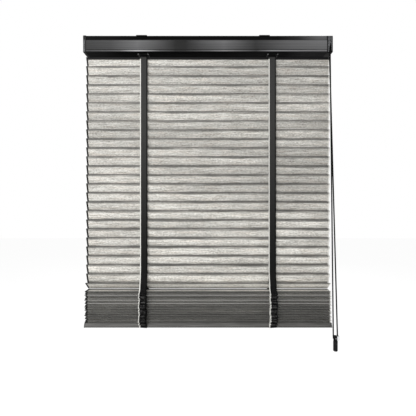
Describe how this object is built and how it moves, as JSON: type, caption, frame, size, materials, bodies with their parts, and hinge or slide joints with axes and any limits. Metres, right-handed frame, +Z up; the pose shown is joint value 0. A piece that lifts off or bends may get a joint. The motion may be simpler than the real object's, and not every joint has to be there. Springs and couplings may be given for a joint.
{
  "type": "wooden venetian blind",
  "caption": "Partly raised wooden venetian blind with closed slats on dark ladder tapes, a gathered stack on its bottom rail, a dark headrail and a control cord loop.",
  "frame": {"origin": "middle of the four ceiling screws, on the ceiling plane above the headrail", "axes": "+X to the right seen from the room, +Y away from the room to the window, +Z up"},
  "size_m": [0.8199, 0.0752, 1.0117],
  "materials": {
    "slat_wood": "satin paint on wood",
    "cap_plastic": "satin",
    "rail_paint": "satin",
    "end_plastic": "satin",
    "steel": "zinc plated",
    "bracket_paint": "satin",
    "dark_plastic": "satin",
    "inner_plastic": "matte",
    "tape_fabric": "woven",
    "cord_fabric": "braided",
    "pale_plastic": "glossy"
  },
  "bodies": {
    "headrail": {"headrail": "rail_paint", "left_end_cap": "end_plastic", "left_bushing": "inner_plastic", "clutch_housing": "end_plastic", "clutch_cover": "end_plastic", "wheel_cord": "cord_fabric", "left_cradle": "inner_plastic", "right_cradle": "inner_plastic", "left_tape_guide": "dark_plastic", "right_tape_guide": "dark_plastic", "left_bracket": "bracket_paint", "right_bracket": "bracket_paint", "left_ladder_tape": "tape_fabric", "right_ladder_tape": "tape_fabric", "left_lift_cord": "cord_fabric", "right_lift_cord": "cord_fabric", "control_cord": "cord_fabric", "tension_weight": "dark_plastic", "tension_pin": "steel", "cord_keeper": "pale_plastic"},
    "drive": {"drive_shaft": "steel", "cord_wheel": "inner_plastic", "left_drum": "inner_plastic", "right_drum": "inner_plastic"},
    "tension_pulley": {"tension_pulley": "inner_plastic"},
    "bottom_rail": {"bottom_rail": "slat_wood", "bottom_rail_left_cap": "cap_plastic", "bottom_rail_right_cap": "cap_plastic", "left_tape_plug": "dark_plastic", "right_tape_plug": "dark_plastic", "stacked_slats": "slat_wood"},
    "slat_01": {"slat_01": "slat_wood"},
    "slat_02": {"slat_02": "slat_wood"},
    "slat_03": {"slat_03": "slat_wood"},
    "slat_04": {"slat_04": "slat_wood"},
    "slat_05": {"slat_05": "slat_wood"},
    "slat_06": {"slat_06": "slat_wood"},
    "slat_07": {"slat_07": "slat_wood"},
    "slat_08": {"slat_08": "slat_wood"},
    "slat_09": {"slat_09": "slat_wood"},
    "slat_10": {"slat_10": "slat_wood"},
    "slat_11": {"slat_11": "slat_wood"},
    "slat_12": {"slat_12": "slat_wood"},
    "slat_13": {"slat_13": "slat_wood"},
    "slat_14": {"slat_14": "slat_wood"},
    "slat_15": {"slat_15": "slat_wood"},
    "slat_16": {"slat_16": "slat_wood"},
    "slat_17": {"slat_17": "slat_wood"},
    "slat_18": {"slat_18": "slat_wood"},
    "slat_19": {"slat_19": "slat_wood"},
    "slat_20": {"slat_20": "slat_wood"},
    "slat_21": {"slat_21": "slat_wood"},
    "slat_22": {"slat_22": "slat_wood"},
    "slat_23": {"slat_23": "slat_wood"},
    "slat_24": {"slat_24": "slat_wood"},
    "slat_25": {"slat_25": "slat_wood"},
    "slat_26": {"slat_26": "slat_wood"}
  },
  "joints": [
    {"name": "drive_turn", "type": "hinge", "parent": "headrail", "child": "drive", "pos_m": [0, 0, -0.029], "axis": [1, 0, 0], "range_deg": [0, 140], "deforming": ["left_ladder_tape", "right_ladder_tape"]},
    {"name": "lift", "type": "slide", "parent": "headrail", "child": "bottom_rail", "axis": [0, 0, 1], "range_m": [-0.025, 0], "deforming": ["left_ladder_tape", "right_ladder_tape", "left_lift_cord", "right_lift_cord"]},
    {"name": "pulley_turn", "type": "hinge", "parent": "headrail", "child": "tension_pulley", "pos_m": [0.424, -0.028, -0.9702], "axis": [0, -1, 0], "range_deg": [0, 272]},
    {"name": "slat_01_tilt", "type": "hinge", "parent": "headrail", "child": "slat_01", "pos_m": [0, 0, -0.077], "axis": [1, 0, 0], "range_deg": [0, 140.5]},
    {"name": "slat_02_tilt", "type": "hinge", "parent": "headrail", "child": "slat_02", "pos_m": [0, 0, -0.1065], "axis": [1, 0, 0], "range_deg": [0, 140.5]},
    {"name": "slat_03_tilt", "type": "hinge", "parent": "headrail", "child": "slat_03", "pos_m": [0, 0, -0.136], "axis": [1, 0, 0], "range_deg": [0, 140.5]},
    {"name": "slat_04_tilt", "type": "hinge", "parent": "headrail", "child": "slat_04", "pos_m": [0, 0, -0.1655], "axis": [1, 0, 0], "range_deg": [0, 140.5]},
    {"name": "slat_05_tilt", "type": "hinge", "parent": "headrail", "child": "slat_05", "pos_m": [0, 0, -0.195], "axis": [1, 0, 0], "range_deg": [0, 140.5]},
    {"name": "slat_06_tilt", "type": "hinge", "parent": "headrail", "child": "slat_06", "pos_m": [0, 0, -0.2245], "axis": [1, 0, 0], "range_deg": [0, 140.5]},
    {"name": "slat_07_tilt", "type": "hinge", "parent": "headrail", "child": "slat_07", "pos_m": [0, 0, -0.254], "axis": [1, 0, 0], "range_deg": [0, 140.5]},
    {"name": "slat_08_tilt", "type": "hinge", "parent": "headrail", "child": "slat_08", "pos_m": [0, 0, -0.2835], "axis": [1, 0, 0], "range_deg": [0, 140.5]},
    {"name": "slat_09_tilt", "type": "hinge", "parent": "headrail", "child": "slat_09", "pos_m": [0, 0, -0.313], "axis": [1, 0, 0], "range_deg": [0, 140.5]},
    {"name": "slat_10_tilt", "type": "hinge", "parent": "headrail", "child": "slat_10", "pos_m": [0, 0, -0.3425], "axis": [1, 0, 0], "range_deg": [0, 140.5]},
    {"name": "slat_11_tilt", "type": "hinge", "parent": "headrail", "child": "slat_11", "pos_m": [0, 0, -0.372], "axis": [1, 0, 0], "range_deg": [0, 140.5]},
    {"name": "slat_12_tilt", "type": "hinge", "parent": "headrail", "child": "slat_12", "pos_m": [0, 0, -0.4015], "axis": [1, 0, 0], "range_deg": [0, 140.5]},
    {"name": "slat_13_tilt", "type": "hinge", "parent": "headrail", "child": "slat_13", "pos_m": [0, 0, -0.431], "axis": [1, 0, 0], "range_deg": [0, 140.5]},
    {"name": "slat_14_tilt", "type": "hinge", "parent": "headrail", "child": "slat_14", "pos_m": [0, 0, -0.4605], "axis": [1, 0, 0], "range_deg": [0, 140.5]},
    {"name": "slat_15_tilt", "type": "hinge", "parent": "headrail", "child": "slat_15", "pos_m": [0, 0, -0.49], "axis": [1, 0, 0], "range_deg": [0, 140.5]},
    {"name": "slat_16_tilt", "type": "hinge", "parent": "headrail", "child": "slat_16", "pos_m": [0, 0, -0.5195], "axis": [1, 0, 0], "range_deg": [0, 140.5]},
    {"name": "slat_17_tilt", "type": "hinge", "parent": "headrail", "child": "slat_17", "pos_m": [0, 0, -0.549], "axis": [1, 0, 0], "range_deg": [0, 140.5]},
    {"name": "slat_18_tilt", "type": "hinge", "parent": "headrail", "child": "slat_18", "pos_m": [0, 0, -0.5785], "axis": [1, 0, 0], "range_deg": [0, 140.5]},
    {"name": "slat_19_tilt", "type": "hinge", "parent": "headrail", "child": "slat_19", "pos_m": [0, 0, -0.608], "axis": [1, 0, 0], "range_deg": [0, 140.5]},
    {"name": "slat_20_tilt", "type": "hinge", "parent": "headrail", "child": "slat_20", "pos_m": [0, 0, -0.6375], "axis": [1, 0, 0], "range_deg": [0, 140.5]},
    {"name": "slat_21_tilt", "type": "hinge", "parent": "headrail", "child": "slat_21", "pos_m": [0, 0, -0.667], "axis": [1, 0, 0], "range_deg": [0, 140.5]},
    {"name": "slat_22_tilt", "type": "hinge", "parent": "headrail", "child": "slat_22", "pos_m": [0, 0, -0.6965], "axis": [1, 0, 0], "range_deg": [0, 140.5]},
    {"name": "slat_23_tilt", "type": "hinge", "parent": "headrail", "child": "slat_23", "pos_m": [0, 0, -0.726], "axis": [1, 0, 0], "range_deg": [0, 140.5]},
    {"name": "slat_24_tilt", "type": "hinge", "parent": "headrail", "child": "slat_24", "pos_m": [0, 0, -0.7555], "axis": [1, 0, 0], "range_deg": [0, 140.5]},
    {"name": "slat_25_tilt", "type": "hinge", "parent": "headrail", "child": "slat_25", "pos_m": [0, 0, -0.785], "axis": [1, 0, 0], "range_deg": [0, 140.5]},
    {"name": "slat_26_tilt", "type": "hinge", "parent": "headrail", "child": "slat_26", "pos_m": [0, 0, -0.8093], "axis": [1, 0, 0], "range_deg": [0, 80.5]}
  ],
  "couplings": [
    {"joint": "pulley_turn", "follows": "drive_turn", "ratio": 1.9403},
    {"joint": "slat_01_tilt", "follows": "drive_turn", "ratio": 1},
    {"joint": "slat_02_tilt", "follows": "drive_turn", "ratio": 1},
    {"joint": "slat_03_tilt", "follows": "drive_turn", "ratio": 1},
    {"joint": "slat_04_tilt", "follows": "drive_turn", "ratio": 1},
    {"joint": "slat_05_tilt", "follows": "drive_turn", "ratio": 1},
    {"joint": "slat_06_tilt", "follows": "drive_turn", "ratio": 1},
    {"joint": "slat_07_tilt", "follows": "drive_turn", "ratio": 1},
    {"joint": "slat_08_tilt", "follows": "drive_turn", "ratio": 1},
    {"joint": "slat_09_tilt", "follows": "drive_turn", "ratio": 1},
    {"joint": "slat_10_tilt", "follows": "drive_turn", "ratio": 1},
    {"joint": "slat_11_tilt", "follows": "drive_turn", "ratio": 1},
    {"joint": "slat_12_tilt", "follows": "drive_turn", "ratio": 1},
    {"joint": "slat_13_tilt", "follows": "drive_turn", "ratio": 1},
    {"joint": "slat_14_tilt", "follows": "drive_turn", "ratio": 1},
    {"joint": "slat_15_tilt", "follows": "drive_turn", "ratio": 1},
    {"joint": "slat_16_tilt", "follows": "drive_turn", "ratio": 1},
    {"joint": "slat_17_tilt", "follows": "drive_turn", "ratio": 1},
    {"joint": "slat_18_tilt", "follows": "drive_turn", "ratio": 1},
    {"joint": "slat_19_tilt", "follows": "drive_turn", "ratio": 1},
    {"joint": "slat_20_tilt", "follows": "drive_turn", "ratio": 1},
    {"joint": "slat_21_tilt", "follows": "drive_turn", "ratio": 1},
    {"joint": "slat_22_tilt", "follows": "drive_turn", "ratio": 1},
    {"joint": "slat_23_tilt", "follows": "drive_turn", "ratio": 1},
    {"joint": "slat_24_tilt", "follows": "drive_turn", "ratio": 1},
    {"joint": "slat_25_tilt", "follows": "drive_turn", "ratio": 1},
    {"joint": "slat_26_tilt", "follows": "drive_turn", "ratio": 0.5714}
  ]
}
